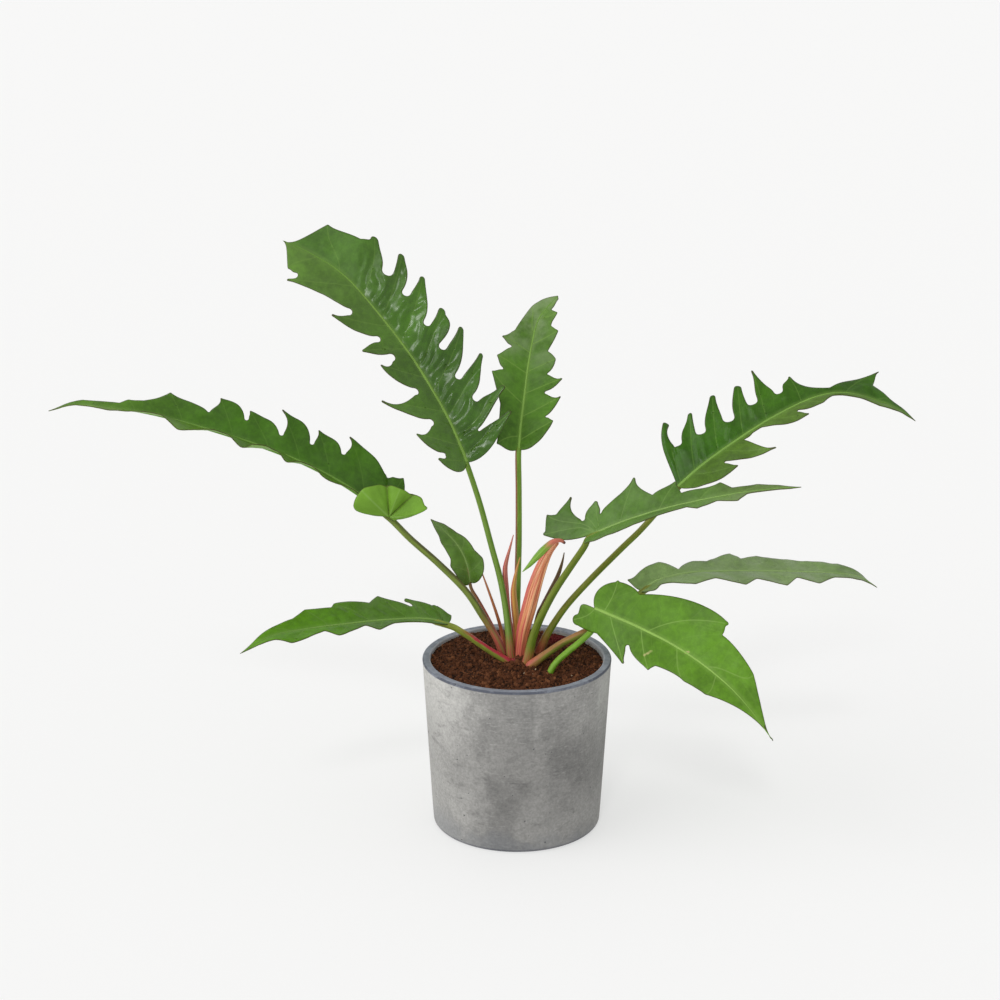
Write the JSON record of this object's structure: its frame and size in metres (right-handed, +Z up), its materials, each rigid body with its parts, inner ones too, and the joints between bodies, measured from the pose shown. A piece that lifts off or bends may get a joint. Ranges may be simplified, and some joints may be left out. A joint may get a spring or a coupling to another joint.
{
  "type": "potted philodendron",
  "caption": "Potted philodendron with long, deeply lobed, arching leaves on slender stalks, in a round, slightly tapered grey concrete pot filled with soil.",
  "frame": {"origin": "centre of the pot's flat base, on the surface it stands on", "axes": "+Z up; the side seen in the picture faces -Y; +X to the right of that side, along the plant's widest spread"},
  "size_m": [0.874, 0.2742, 0.5828],
  "materials": {
    "pot": "mottled grey cast concrete",
    "soil": "dark red-brown coir compost, coarse and matt",
    "crown": "pink-red stem base, satin",
    "leaf_dark": "dark green leaf, glossy",
    "leaf_dull": "grey-green leaf, semi-gloss",
    "leaf_bright": "young yellow-green leaf, semi-gloss",
    "leaf_new": "unrolling leaf, green with a pink back",
    "stalk_green": "green leaf stalk, satin",
    "stalk_brown": "olive-brown leaf stalk with crimson, satin",
    "sheath": "salmon-pink sheath with cream stripes, satin",
    "spike_pink": "pink leaf sheath, satin",
    "spike_gold": "orange-yellow leaf sheath, satin",
    "spike_brown": "dark brown dried sheath, matt"
  },
  "bodies": {
    "root": {"pot": "pot", "soil": "soil", "crown": "crown", "blade_tall_left": "leaf_dark", "blade_tall_back": "leaf_dull", "blade_long_left": "leaf_dark", "blade_high_right": "leaf_dark", "blade_middle_right": "leaf_dull", "blade_low_right": "leaf_dull", "blade_front_right": "leaf_bright", "blade_low_left": "leaf_dark", "blade_small_left": "leaf_dark", "stalk_tall_left": "stalk_green", "stalk_tall_back": "stalk_green", "stalk_long_left": "stalk_green", "stalk_high_right": "stalk_green", "stalk_middle_right": "stalk_green", "stalk_low_right": "stalk_brown", "stalk_front_right": "stalk_green", "stalk_low_left": "stalk_brown", "stalk_small_left": "stalk_brown", "spike_pink": "spike_pink", "spike_gold": "spike_gold", "spike_brown": "spike_brown", "spike_thin": "spike_gold", "new_leaf_sheath": "sheath", "blade_new": "leaf_new"}
  },
  "joints": []
}
